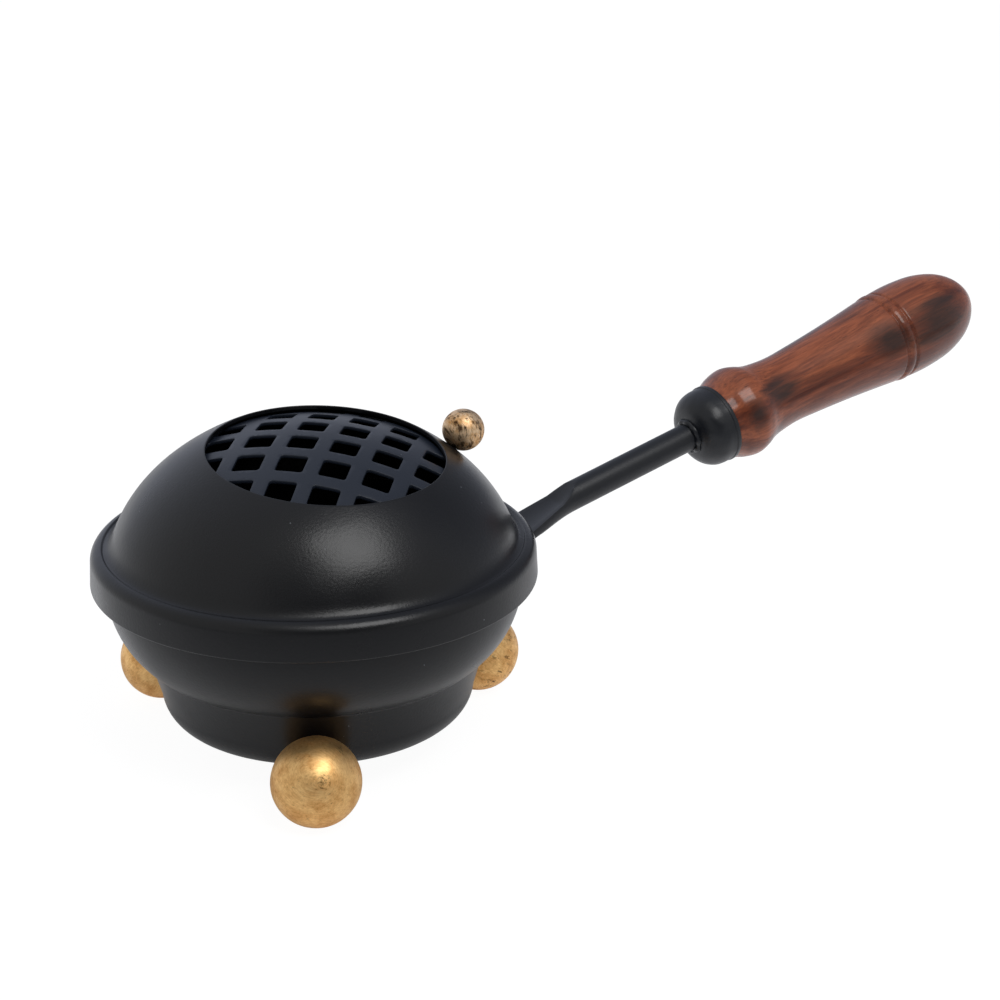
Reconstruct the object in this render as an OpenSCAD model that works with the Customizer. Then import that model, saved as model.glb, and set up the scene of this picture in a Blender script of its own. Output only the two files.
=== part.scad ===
// Hand-held charcoal incense burner: a spun steel bowl on three ball feet, a lift-off domed lid
// with a perforated grille and a ball knob, and a rising rod handle with a turned wooden grip.
// All sizes in millimetres. The bowl's axis is Z, the floor is Z = 0, the handle points to +X.

/* [Sheet] */
// Thickness of the spun steel sheet of the bowl and the lid
sheet = 1.2; // [0.8:0.1:2]

/* [Bowl] */
// Height of the bowl's underside above the floor
base_height = 9; // [6:0.5:16]
// Outer radius of the lower cup at its rounded corner
base_radius = 45.5; // [38:0.5:52]
// Outer radius of the rounded corner at the foot of the cup
corner_radius = 8.6; // [6:0.2:12]
// How much the cup wall widens between the rounded corner and the shoulder
wall_flare = 3.1; // [1:0.1:6]
// Largest outer radius of the bowl, at the top of the shoulder
bowl_radius = 59.7; // [52:0.1:70]
// Radius of the shoulder's curve in section
shoulder_curve = 27.5; // [22:0.5:36]
// Height of the straight wall between the shoulder's curve and the rim
straight_wall = 9.5; // [5:0.5:14]
// Height of the rolled rim, where the lid rests
rim_height = 59.8; // [54:0.2:70]
// Section radius of the rolled rim
rim_bead = 1.3; // [1:0.1:1.4]

/* [Feet] */
// Radius of each ball foot
foot_radius = 12.5; // [9:0.5:15]
// Depth of the seat in each ball, where it meets the bowl's corner
foot_seat = 1.62; // [0.6:0.02:3]
// Radius of the foot screws' threads
foot_screw_radius = 2; // [1.5:0.25:2.5]

/* [Handle] */
// Drop from the lid's edge to where the handle's centre line meets the bowl's axis
handle_drop = 17.2; // [14:0.1:22]
// Rise of the handle above the horizontal, in degrees
handle_rise = 13.5; // [8:0.5:20]
// Radius of the round handle rod
rod_radius = 4.5; // [3:0.25:6]
// Rise of the flattened end above the horizontal, in degrees
flat_rise = 22.5; // [15:0.5:30]
// Width of the flattened end at the bowl
flat_width = 14.6; // [10:0.2:18]
// Thickness of the flattened end
flat_thickness = 4; // [3:0.2:6]
// How far the flattened end reaches out from the bowl
flat_length = 26.3; // [20:0.1:36]
// Width of the weld around the flattened end
weld_width = 2; // [1:0.25:3]

/* [Collar and grip] */
// Length of handle between the bowl and the joint of collar and grip
rod_length = 91.3; // [75:0.1:120]
// Outer radius of the collar
collar_radius = 12.5; // [9:0.25:15]
// Radius of the collar's rounded shoulder
collar_round = 8; // [5:0.25:9]
// Length of the collar's straight band next to the grip
collar_band = 3.7; // [2:0.1:6]
// Length of the turned wooden grip
grip_length = 110.5; // [90:0.5:130]
// Largest radius of the grip, near its far end
grip_radius = 15.5; // [12:0.25:18]
// Radius of the grip at its waist
waist_radius = 11.5; // [9:0.25:13]
// Radius of the turned bulge next to the collar
bulge_radius = 14.9; // [12:0.1:17]
// Depth of the two turned grooves in the grip
groove_depth = 0.45; // [0.2:0.05:1]
// How far the rod reaches into the grip
tang_length = 60; // [30:1:80]

/* [Lid] */
// Depth of the skirt below the crease at the dome's foot
skirt_depth = 9.7; // [6:0.1:12]
// Width of the flange from the crease to the outside of the skirt
flange_width = 3.2; // [2.6:0.1:3.6]
// Height of the dome's sphere above the crease, before the opening is cut
dome_rise = 37.3; // [28:0.1:46]
// Section radius of the flange's rounded edge
flange_round = 2; // [1.6:0.1:3]
// Radius of the round opening in the dome
opening_radius = 33.6; // [24:0.2:38]
// Lean of the opening's axis from the vertical, in degrees
opening_lean = 6.4; // [0:0.2:10]
// Direction in which the opening leans, in degrees from the handle
opening_turn = -82; // [-180:1:180]
// Height the lid lifts on its stand-in slide
lid_lift = 100; // [60:5:150]

/* [Grille] */
// Drop from the dome's own curve to the middle of the grille
grille_drop = 3.5; // [2:0.1:5]
// How far the grille reaches under the lid around the opening
grille_margin = 3.9; // [3:0.1:5]
// Thickness of the grille
grille_sheet = 1; // [0.8:0.1:1.6]
// Distance between the centres of neighbouring holes
hole_pitch = 12.1; // [10:0.05:14]
// Side of each square hole
hole_side = 7.8; // [5:0.1:9]
// Corner radius of each square hole
hole_corner = 0.9; // [0.5:0.1:2]
// Turn of the rows of holes, in degrees from the handle
grid_turn = -43; // [-90:0.5:90]

/* [Knob] */
// Radius of the ball knob
knob_radius = 6.2; // [5:0.1:9]
// Direction of the knob about the opening's axis, in degrees from its lean
knob_turn = 81.5; // [-180:0.5:180]
// Distance over the dome from the opening's edge to the knob's axis
knob_gap = 9.9; // [8.5:0.1:14]
// Radius of the knob screw's thread
knob_screw_radius = 1.5; // [1:0.25:2]

/* [Clearances] */
// Clearance around a screw in a plain hole
screw_clearance = 0.2; // [0.1:0.05:0.4]
// Clearance between a screw and its tapped hole
thread_clearance = 0.03; // [0.02:0.01:0.1]
// Clearance between the rod and the bores of collar and grip
rod_clearance = 0.05; // [0.02:0.01:0.2]
// Clearance between the rolled rim and the inside of the lid's skirt
skirt_clearance = 1.1; // [0.6:0.1:2]
// Gap between the grille's edge and the lid
grille_gap = 0.05; // [0.02:0.01:0.2]

/* [Hidden] */
$fn = 96;
eps = 0.01;
far = 400;
foot_count = 3;
shoulder_centre = bowl_radius - shoulder_curve;
shoulder_height = rim_height - straight_wall;
step_radius = base_radius + wall_flare;
corner_centre_r = base_radius - corner_radius;
corner_centre_z = base_height + corner_radius;
rim_centre_r = bowl_radius - sheet / 2 + rim_bead;

foot_reach = corner_radius + foot_radius - foot_seat;
foot_drop = asin((corner_centre_z - foot_radius) / foot_reach);
washer_radius = 2.1 * foot_screw_radius;
washer_plane = corner_radius - sheet - 1.9;

lid_radius = rim_centre_r + rim_bead + skirt_clearance + sheet;
crease_radius = lid_radius - flange_width;
crease_height = rim_height + sheet;
skirt_height = crease_height - skirt_depth;
dome_radius = (pow(crease_radius, 2) + pow(dome_rise, 2)) / (2 * dome_rise);
dome_centre = crease_height + dome_rise - dome_radius;
dome_inner = dome_radius - sheet;
flange_centre_r = lid_radius - flange_round;
flange_centre_z = crease_height - 0.8;

grille_radius = opening_radius + grille_margin;
grille_edge = sqrt(pow(dome_inner, 2) - pow(grille_radius, 2));
grille_rise = dome_inner - grille_edge - grille_drop;
grille_curve = (pow(grille_radius, 2) + pow(grille_rise, 2)) / (2 * grille_rise);
grille_offset = grille_edge + grille_rise - grille_curve;
grille_rim = 1.2;
tack_count = 6;
tack_radius = 2;
grid_shift = [0.05, 2.55];
grid_reach = ceil(grille_radius / hole_pitch);

knob_seat = 0.35;
knob_lean = asin(opening_radius / dome_radius) + knob_gap / dome_radius * 180 / PI;
knob_reach = dome_radius + knob_radius - knob_seat;
knob_washer_plane = dome_inner - 1.3;

handle_height = skirt_height - handle_drop;
flat_reach = bowl_radius + flat_length;
flat_top = handle_height + flat_reach * tan(handle_rise) + 1.6;
flat_run = flat_length / cos(flat_rise) + 8;
grip_start = bowl_radius + rod_length;
collar_face = grip_start - collar_band - collar_round;
collar_arc_r = collar_radius - collar_round;
grip_end = grip_start + grip_length;

// Stations along the grip: share of its length, and radius
grip_form = [
    [0.000, collar_radius - 0.1],
    [0.018, collar_radius + 0.45],
    [0.045, bulge_radius - 0.75],
    [0.081, bulge_radius],
    [0.110, bulge_radius - 0.65],
    [0.138, waist_radius + 1.55],
    [0.172, waist_radius + 0.7],
    [0.244, waist_radius],
    [0.330, waist_radius + 0.42],
    [0.443, waist_radius + 1.3],
    [0.535, waist_radius + 2.22],
    [0.640, grip_radius - 0.6],
    [0.724, grip_radius],
    [0.805, grip_radius - 0.4],
    [0.850, grip_radius - 1.25],
    [0.896, grip_radius - 2.9],
    [0.932, grip_radius - 5.1],
    [0.959, grip_radius - 7.6],
    [0.980, grip_radius - 10.4],
    [0.993, grip_radius - 13.2]
];

// Section of the bowl filled to its axis, drawn in by inset from the outside
module bowl_area(inset) {
    step_z = shoulder_height - sqrt(pow(shoulder_curve - inset, 2)
           - pow(step_radius - inset - shoulder_centre, 2));
    translate([0, base_height + inset])
        square([corner_centre_r, step_z - base_height - inset]);
    intersection() {
        translate([corner_centre_r, corner_centre_z])
            circle(corner_radius - inset);
        translate([0, base_height - 5])
            square([far, corner_centre_z - base_height + 5]);
    }
    polygon([
        [0, corner_centre_z],
        [base_radius - inset, corner_centre_z],
        [step_radius - inset, step_z],
        [0, step_z]
    ]);
    intersection() {
        translate([shoulder_centre, shoulder_height])
            circle(shoulder_curve - inset);
        translate([0, step_z])
            square([far, shoulder_height - step_z]);
    }
    translate([0, step_z])
        square([shoulder_centre + 1, shoulder_height - step_z]);
}

module bowl_solid(inset) {
    rotate_extrude()
        bowl_area(inset);
}

// Places its children on the screw line of foot k: +Z runs from the corner's centre to the ball
module at_foot(k) {
    rotate([0, 0, k * 360 / foot_count])
        translate([corner_centre_r, 0, corner_centre_z])
            rotate([0, 90 + foot_drop, 0])
                children();
}

// Places its children on the handle's centre line, +Z along it from the bowl's axis
module on_handle() {
    translate([0, 0, handle_height])
        rotate([0, 90 - handle_rise, 0])
            children();
}

// Places its children on the axis of the opening, from the centre of the dome's sphere
module at_opening() {
    translate([0, 0, dome_centre])
        rotate([0, 0, opening_turn])
            rotate([0, opening_lean, 0])
                children();
}

// Places its children on the axis of the knob, from the centre of the dome's sphere
module at_knob() {
    at_opening()
        rotate([0, 0, knob_turn])
            rotate([0, knob_lean, 0])
                children();
}

module bowl() {
    color([0.05, 0.05, 0.055])
        difference() {
            union() {
                rotate_extrude()
                    difference() {
                        bowl_area(0);
                        bowl_area(sheet);
                        translate([0, base_height - 1])
                            square([corner_centre_r, sheet + 2]);
                    }
                rotate_extrude()
                    translate([bowl_radius - sheet, shoulder_height])
                        square([sheet, straight_wall - 0.6]);
                rotate_extrude()
                    intersection() {
                        translate([rim_centre_r, rim_height - rim_bead + 0.1])
                            circle(rim_bead);
                        translate([0, rim_height - 10])
                            square([far, 10]);
                    }
            }
            for (k = [0 : foot_count - 1])
                at_foot(k)
                    translate([0, 0, corner_radius - sheet - 2])
                        cylinder(h = sheet + 4, r = foot_screw_radius + screw_clearance);
        }
}

// The flat floor inside the bowl's rounded corner
module bowl_floor() {
    color([0.05, 0.05, 0.055])
        translate([0, 0, base_height])
            cylinder(h = sheet, r = corner_centre_r);
}

module foot_ball(k) {
    color([0.62, 0.47, 0.26])
        difference() {
            at_foot(k)
                translate([0, 0, foot_reach])
                    sphere(foot_radius);
            bowl_solid(0);
            at_foot(k)
                cylinder(h = foot_reach + 1.5, r = foot_screw_radius + thread_clearance);
        }
}

module foot_screws() {
    color([0.6, 0.6, 0.62])
        for (k = [0 : foot_count - 1])
            at_foot(k)
                difference() {
                    union() {
                        translate([0, 0, washer_plane - 1.2 * foot_screw_radius])
                            cylinder(h = 1.2 * foot_screw_radius, r = 1.75 * foot_screw_radius);
                        translate([0, 0, washer_plane - eps])
                            cylinder(h = foot_reach - washer_plane, r = foot_screw_radius);
                    }
                    translate([-far / 2, -0.5, washer_plane - 1.2 * foot_screw_radius - 1])
                        cube([far, 1, 2]);
                }
}

module foot_washers() {
    color([0.6, 0.6, 0.62])
        for (k = [0 : foot_count - 1])
            intersection() {
                at_foot(k)
                    translate([0, 0, washer_plane])
                        difference() {
                            cylinder(h = 6, r = washer_radius);
                            translate([0, 0, -1])
                                cylinder(h = 8, r = foot_screw_radius + screw_clearance);
                        }
                bowl_solid(sheet, $fn = 360);
            }
}

// The flattened end before it is cut to the bowl
module flat_bar(extra) {
    translate([flat_reach, 0, flat_top])
        rotate([0, -flat_rise, 0])
            translate([0, 0, -flat_thickness - extra])
                linear_extrude(flat_thickness + 2 * extra)
                    polygon([
                        [-flat_run, -flat_width / 2 - extra],
                        [-14, -flat_width / 2 - extra],
                        [4, -rod_radius * 0.6 - extra],
                        [4, rod_radius * 0.6 + extra],
                        [-14, flat_width / 2 + extra],
                        [-flat_run, flat_width / 2 + extra]
                    ]);
}

module handle_rod() {
    color([0.05, 0.05, 0.055])
        difference() {
            union() {
                difference() {
                    on_handle()
                        translate([0, 0, flat_reach - 10])
                            cylinder(h = grip_start + tang_length - flat_reach + 10, r = rod_radius);
                    intersection() {
                        translate([flat_reach, 0, flat_top])
                            rotate([0, -flat_rise, 0])
                                translate([-60, -20, 0])
                                    cube([120, 40, 40]);
                        translate([flat_reach, 0, flat_top])
                            rotate([0, -flat_rise - 12, 0])
                                translate([-60, -20, 0])
                                    cube([120, 40, 40]);
                    }
                }
                flat_bar(0);
            }
            bowl_solid(0);
        }
}

module handle_weld() {
    color([0.05, 0.05, 0.055])
        difference() {
            intersection() {
                flat_bar(weld_width);
                bowl_solid(-weld_width);
            }
            bowl_solid(0);
            flat_bar(0);
        }
}

// Half section of the collar, before its bore
module collar_area() {
    intersection() {
        translate([collar_arc_r, collar_face + collar_round])
            circle(collar_round);
        translate([0, collar_face - 1])
            square([far, collar_round + 1]);
    }
    translate([0, collar_face])
        square([collar_arc_r, collar_round]);
    translate([0, collar_face + collar_round])
        square([collar_radius, collar_band - 1.5]);
    translate([0, grip_start - 1.5])
        square([collar_radius + 0.25, 1.5]);
}

module collar() {
    color([0.05, 0.05, 0.055])
        on_handle()
            difference() {
                rotate_extrude()
                    collar_area();
                translate([0, 0, collar_face - 5])
                    cylinder(h = 40, r = rod_radius + rod_clearance);
            }
}

module collar_weld() {
    color([0.05, 0.05, 0.055])
        on_handle()
            rotate_extrude()
                difference() {
                    translate([rod_radius + 0.5, collar_face])
                        circle(1.3);
                    collar_area();
                    translate([0, collar_face - 3])
                        square([rod_radius, 6]);
                }
}

// Smooth curve through the stations of the grip
function grip_tangent(i) =
    i == 0 ? (grip_form[1] - grip_form[0]) :
    i == len(grip_form) - 1 ? (grip_form[i] - grip_form[i - 1]) :
    (grip_form[i + 1] - grip_form[i - 1]) / 2;
function grip_point(i, t) =
    (2 * pow(t, 3) - 3 * pow(t, 2) + 1) * grip_form[i]
    + (pow(t, 3) - 2 * pow(t, 2) + t) * grip_tangent(i)
    + (3 * pow(t, 2) - 2 * pow(t, 3)) * grip_form[i + 1]
    + (pow(t, 3) - pow(t, 2)) * grip_tangent(i + 1);
grip_outline = [
    for (i = [0 : len(grip_form) - 2], t = [0, 0.5])
        [grip_point(i, t)[1], grip_start + grip_length * grip_point(i, t)[0]]
];

module grip() {
    color([0.35, 0.14, 0.08])
        on_handle()
            difference() {
                rotate_extrude()
                    difference() {
                        polygon(concat(
                            [[0, grip_start]],
                            grip_outline,
                            [[grip_radius - 13.2, grip_start + grip_length * 0.993], [0, grip_end]]
                        ));
                        for (g = [0.637, 0.6706])
                            translate([grip_radius - groove_depth + 0.5, grip_start + grip_length * g])
                                circle(0.9, $fn = 24);
                    }
                translate([0, 0, grip_start - 1])
                    cylinder(h = tang_length + 3, r = rod_radius + rod_clearance);
            }
}

module lid_dome() {
    color([0.05, 0.05, 0.055])
        difference() {
            rotate_extrude() {
                difference() {
                    intersection() {
                        translate([0, dome_centre])
                            circle(dome_radius);
                        translate([0, crease_height - sheet])
                            square([crease_radius + 0.6, far]);
                    }
                    translate([0, dome_centre])
                        circle(dome_inner);
                }
                difference() {
                    translate([flange_centre_r, flange_centre_z])
                        circle(flange_round);
                    translate([0, crease_height - sheet - 5])
                        square([far, 5]);
                    translate([flange_centre_r, flange_centre_z])
                        circle(flange_round - sheet);
                    translate([flange_centre_r - flange_round + sheet, flange_centre_z - 2])
                        square([2 * (flange_round - sheet), 2]);
                }
                translate([lid_radius - sheet, skirt_height])
                    square([sheet, flange_centre_z - skirt_height]);
            }
            at_opening()
                cylinder(h = far, r = opening_radius);
            at_knob()
                translate([0, 0, dome_inner - 3])
                    cylinder(h = 6, r = knob_screw_radius + screw_clearance);
        }
}

module rounded_square(side, corner) {
    square([side, side - 2 * corner], center = true);
    square([side - 2 * corner, side], center = true);
    for (x = [-1, 1], y = [-1, 1])
        translate([x, y] * (side / 2 - corner))
            circle(corner, $fn = 24);
}

// The square holes whose centres lie far enough inside the grille's rim
module grid_holes() {
    for (i = [-grid_reach : grid_reach], j = [-grid_reach : grid_reach]) {
        c = grid_shift + [i + 0.5, j + 0.5] * hole_pitch;
        if (norm(c) < grille_radius - grille_rim - 0.7)
            translate(c)
                rounded_square(hole_side, hole_corner);
    }
}

module grille() {
    color([0.07, 0.08, 0.1])
        at_opening()
            difference() {
                intersection() {
                    difference() {
                        translate([0, 0, grille_offset])
                            sphere(grille_curve);
                        translate([0, 0, grille_offset])
                            sphere(grille_curve - grille_sheet);
                    }
                    sphere(dome_inner - grille_gap);
                    translate([0, 0, dome_inner / 2])
                        cylinder(h = far, r = grille_radius);
                }
                rotate([0, 0, grid_turn - opening_turn])
                    translate([0, 0, dome_inner / 2])
                        linear_extrude(dome_inner)
                            intersection() {
                                grid_holes();
                                circle(grille_radius - grille_rim);
                            }
            }
}

module grille_tacks() {
    color([0.07, 0.08, 0.1])
        at_opening()
            for (k = [0 : tack_count - 1])
                difference() {
                    intersection() {
                        rotate([0, 0, knob_turn + (k + 0.5) * 360 / tack_count])
                            translate([grille_radius, 0, grille_edge - 1])
                                sphere(tack_radius, $fn = 48);
                        sphere(dome_inner, $fn = 300);
                    }
                    difference() {
                        cylinder(h = far, r = grille_radius, $fn = 300);
                        translate([0, 0, grille_offset])
                            sphere(grille_curve - grille_sheet, $fn = 300);
                    }
                }
}

module knob_ball() {
    color([0.55, 0.42, 0.25])
        at_knob()
            difference() {
                translate([0, 0, knob_reach])
                    sphere(knob_radius);
                sphere(dome_radius);
                translate([0, 0, dome_radius - 3])
                    cylinder(h = knob_radius + 2.5, r = knob_screw_radius + thread_clearance);
            }
}

module knob_screw() {
    color([0.6, 0.6, 0.62])
        at_knob()
            difference() {
                union() {
                    translate([0, 0, knob_washer_plane - 1.3 * knob_screw_radius])
                        cylinder(h = 1.3 * knob_screw_radius, r = 1.8 * knob_screw_radius);
                    translate([0, 0, knob_washer_plane - eps])
                        cylinder(h = sheet + 1.3 + knob_radius - 1.2, r = knob_screw_radius);
                }
                translate([-far / 2, -0.4, knob_washer_plane - 1.3 * knob_screw_radius - 1])
                    cube([far, 0.8, 1.8]);
            }
}

module knob_washer() {
    color([0.6, 0.6, 0.62])
        at_knob()
            intersection() {
                translate([0, 0, knob_washer_plane])
                    difference() {
                        cylinder(h = 5, r = 2 * knob_screw_radius);
                        translate([0, 0, -1])
                            cylinder(h = 7, r = knob_screw_radius + screw_clearance);
                    }
                sphere(dome_inner, $fn = 300);
            }
}

bowl();
bowl_floor();
for (k = [1 : foot_count])
    foot_ball(k - 1);
foot_screws();
foot_washers();
handle_rod();
handle_weld();
collar();
collar_weld();
grip();
lid_dome();
grille();
grille_tacks();
knob_ball();
knob_screw();
knob_washer();
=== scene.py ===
import math

import bmesh
import bpy
from mathutils import Matrix, Vector, noise
from mathutils.geometry import delaunay_2d_cdt


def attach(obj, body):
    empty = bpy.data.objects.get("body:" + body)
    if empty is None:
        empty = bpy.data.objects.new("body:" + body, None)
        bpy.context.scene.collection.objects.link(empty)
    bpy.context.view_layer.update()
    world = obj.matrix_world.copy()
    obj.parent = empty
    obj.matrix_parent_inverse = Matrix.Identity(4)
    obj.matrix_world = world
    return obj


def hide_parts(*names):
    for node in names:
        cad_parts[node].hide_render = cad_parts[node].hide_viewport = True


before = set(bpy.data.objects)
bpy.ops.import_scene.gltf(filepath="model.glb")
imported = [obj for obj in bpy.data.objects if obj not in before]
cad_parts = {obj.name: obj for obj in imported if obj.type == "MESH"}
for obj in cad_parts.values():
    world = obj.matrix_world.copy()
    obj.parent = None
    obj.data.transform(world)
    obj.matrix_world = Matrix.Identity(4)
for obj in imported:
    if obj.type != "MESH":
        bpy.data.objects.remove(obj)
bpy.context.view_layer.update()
mm = 0.001
print("frame loaded with", len(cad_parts), "nodes")


def hexColour(text):
    # sRGB hex to the linear numbers that the shaders take
    channels = [int(text[i:i + 2], 16) / 255 for i in (1, 3, 5)]
    return [c / 12.92 if c <= 0.04045 else ((c + 0.055) / 1.055) ** 2.4 for c in channels] + [1]


def addNode(tree, kind, settings=None, links=None):
    # a number is an input's place in order: Map Range reads from 1-2 and gives 3-4, Mix takes colours 6 and 7
    node = tree.nodes.new("ShaderNode" + kind)
    for name, value in (settings or {}).items():
        if name == "stops":
            marks = node.color_ramp.elements
            marks[0].position, marks[0].color = value[0]
            marks[1].position, marks[1].color = value[-1]
            for place, colour in value[1:-1]:
                marks.new(place).color = colour
        elif isinstance(name, int) or name in node.inputs:
            node.inputs[name].default_value = value
        else:
            setattr(node, name, value)
    for name, source in (links or {}).items():
        tree.links.new(source, node.inputs[name])
    return node


def startMaterial(name, settings):
    # a Principled surface with its uniform values on its own sockets, and the piece's own coordinates
    material = bpy.data.materials.new(name)
    material.use_nodes = True
    tree = material.node_tree
    surface = tree.nodes["Principled BSDF"]
    for key, value in settings.items():
        surface.inputs[key].default_value = value
    place = addNode(tree, "TexCoord").outputs["Object"]
    return material, tree, surface, place


def joinSurface(tree, surface, sources):
    for name, source in sources.items():
        tree.links.new(source, surface.inputs[name])


def towards(turn, rise):
    # a direction from its angle from the handle and its angle above level
    a, e = math.radians(turn), math.radians(rise)
    return Vector((math.cos(a) * math.cos(e), math.sin(a) * math.cos(e), math.sin(e)))


# Powder coat, sprayed and baked on spun steel: near-black satin with a faint blue cast, fine orange peel,
# a slow unevenness from the spinning underneath, and a few pale dust specks caught in it
coat = {
    "colour": "#0d0e11", "speckColour": "#6d7076", "roughness": 0.3,
    "peel": 0.8, "unevenness": 9, "sheenPatch": 26, "speckCell": 5.5,
}


def powderCoatBlack(name, colour, roughness, specular=0.37, peelDepth=0.08):
    material, tree, surface, place = startMaterial(name, {
        "Base Color": hexColour(colour), "Roughness": roughness, "IOR": 1.5, "Specular IOR Level": specular,
    })
    patch = addNode(tree, "TexNoise", {"Scale": 1 / (coat["sheenPatch"] * mm), "Detail": 3}, {"Vector": place})
    rough = addNode(tree, "MapRange", {1: 0.3, 2: 0.7, 3: roughness - 0.05, 4: roughness + 0.06},
                    {0: patch.outputs["Fac"]})
    cells = addNode(tree, "TexVoronoi", {"Scale": 1 / (coat["speckCell"] * mm)}, {"Vector": place})
    # a speck is 0.2 mm across on the real coat and 0.35 mm here, so that it shows
    nearCentre = addNode(tree, "Math", {"operation": "LESS_THAN", 1: 0.035}, {0: cells.outputs["Distance"]})
    cellPick = addNode(tree, "SeparateColor", links={"Color": cells.outputs["Color"]})
    fewCells = addNode(tree, "Math", {"operation": "LESS_THAN", 1: 0.3}, {0: cellPick.outputs["Red"]})
    speck = addNode(tree, "Math", {"operation": "MULTIPLY"}, {0: nearCentre.outputs[0], 1: fewCells.outputs[0]})
    tint = addNode(tree, "Mix", {"data_type": "RGBA", 6: hexColour(colour), 7: hexColour(coat["speckColour"])},
                   {0: speck.outputs[0]})
    slow = addNode(tree, "TexNoise", {"Scale": 1 / (coat["unevenness"] * mm), "Detail": 2}, {"Vector": place})
    peel = addNode(tree, "TexNoise", {"Scale": 1 / (coat["peel"] * mm), "Detail": 3}, {"Vector": place})
    slowBump = addNode(tree, "Bump", {"Strength": 0.25, "Distance": 0.15 * mm}, {"Height": slow.outputs["Fac"]})
    peelBump = addNode(tree, "Bump", {"Strength": 0.5, "Distance": peelDepth * mm},
                       {"Height": peel.outputs["Fac"], "Normal": slowBump.outputs[0]})
    joinSurface(tree, surface, {"Base Color": tint.outputs[2], "Roughness": rough.outputs[0],
                                "Normal": peelBump.outputs[0]})
    return material


# Antique gold on solid balls, turned and brushed: warm metal with fine rings about the ball's own axis, dull
# patches, and brown patina where the colour has gone or gathered; the first foot's extra patina is also painted shade
gold = {
    "colour": "#ffd491", "knobColour": "#ffe2bc", "dull": "#dba765", "patina": "#38210f", "roughness": 0.47,
    "scratch": 0.3, "ringDrift": 0.45, "speckle": 0.8, "patch": 5, "stain": 2, "stainDrift": 0.95,
    "poleWidth": 3.4, "poleStain": 0.22, "axisRise": 28, "axisTurn": 10, "knobAxis": (-165, -23),
    # the first foot's larger share is partly painted shade: its extra patina darkens that ball all over
    "footWearAndShade": (0.62, 0.2, 0.3), "knobWear": 0.92,
}


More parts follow.
